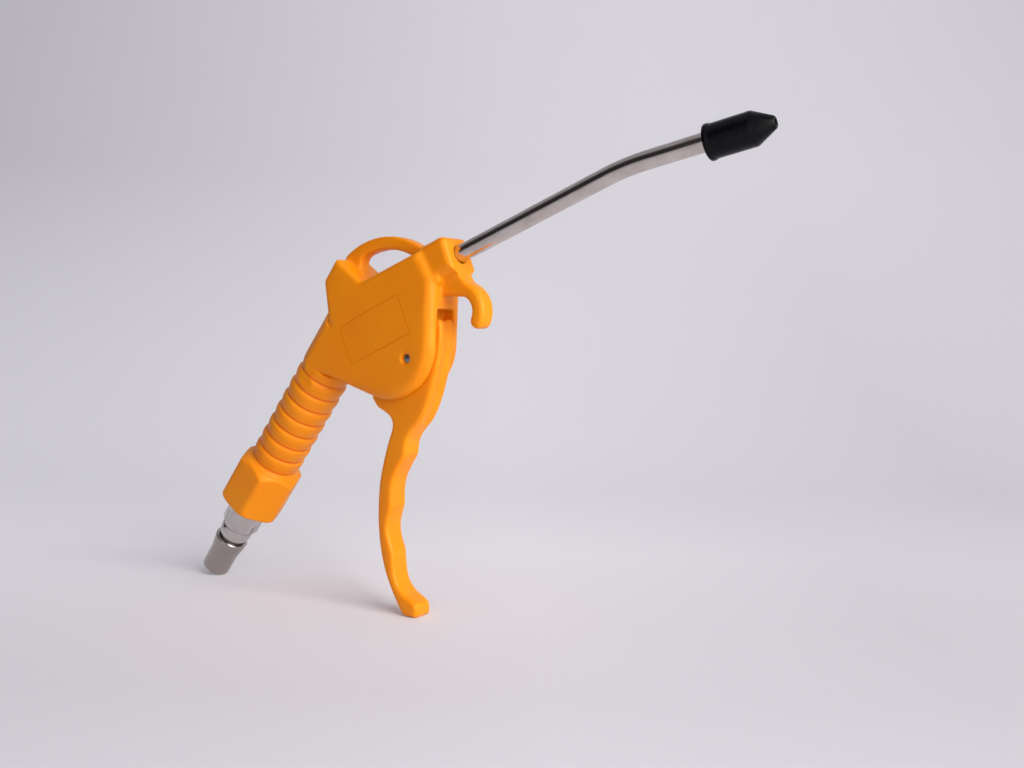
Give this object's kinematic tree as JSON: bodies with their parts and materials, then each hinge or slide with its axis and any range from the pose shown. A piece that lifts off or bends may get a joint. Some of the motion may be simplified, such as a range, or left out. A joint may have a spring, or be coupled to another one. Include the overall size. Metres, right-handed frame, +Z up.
{
  "type": "pneumatic air duster",
  "caption": "Hand-held air duster with ribbed grip, finger lever, hanging loop, hook and bent steel nozzle with rubber tip; a male quick-coupler plug feeds it.",
  "frame": {"origin": "On the surface it stands on, under the middle of its length and width; it stands on the plug's nose and the lever's tip.", "axes": "+X forwards to the nozzle's rubber tip, +Y across the body, +Z up."},
  "size_m": [0.2516, 0.0246, 0.1801],
  "materials": {
    "orange_plastic": "moulded, satin",
    "nickel": "nickel plated, satin",
    "steel": "drawn tube, satin",
    "brass": "turned",
    "rubber": "moulded, dull",
    "spring_steel": "drawn wire"
  },
  "bodies": {
    "gun": {"body": "orange_plastic", "inlet_insert": "brass", "coupler_plug": "nickel", "pivot_pin": "steel", "gland_nut": "brass", "stem_o_ring": "rubber", "valve_seat_bush": "brass", "bush_o_rings": "rubber", "valve_spring": "spring_steel", "nozzle_insert": "brass", "nozzle_o_ring": "rubber", "nozzle_tube": "steel", "rubber_tip": "rubber"},
    "lever": {"lever": "orange_plastic"},
    "valve": {"valve_stem": "steel", "valve_seal": "rubber", "seal_retainer": "brass"}
  },
  "joints": [
    {"name": "lever_pivot", "type": "hinge", "parent": "gun", "child": "lever", "pos_m": [-0.00942, 0, 0.09883], "axis": [0, 1, 0], "range_deg": [0, 11], "stiffness_Nm_per_rad": 0.48, "springref_deg": -22.35},
    {"name": "valve_slide", "type": "slide", "parent": "gun", "child": "valve", "axis": [-0.5736, 0, 0.8192], "range_m": [0, 0.00298], "deforming": ["valve_spring"]}
  ],
  "couplings": [
    {"joint": "valve_slide", "follows": "lever_pivot", "m_per_rad": 0.0155}
  ]
}
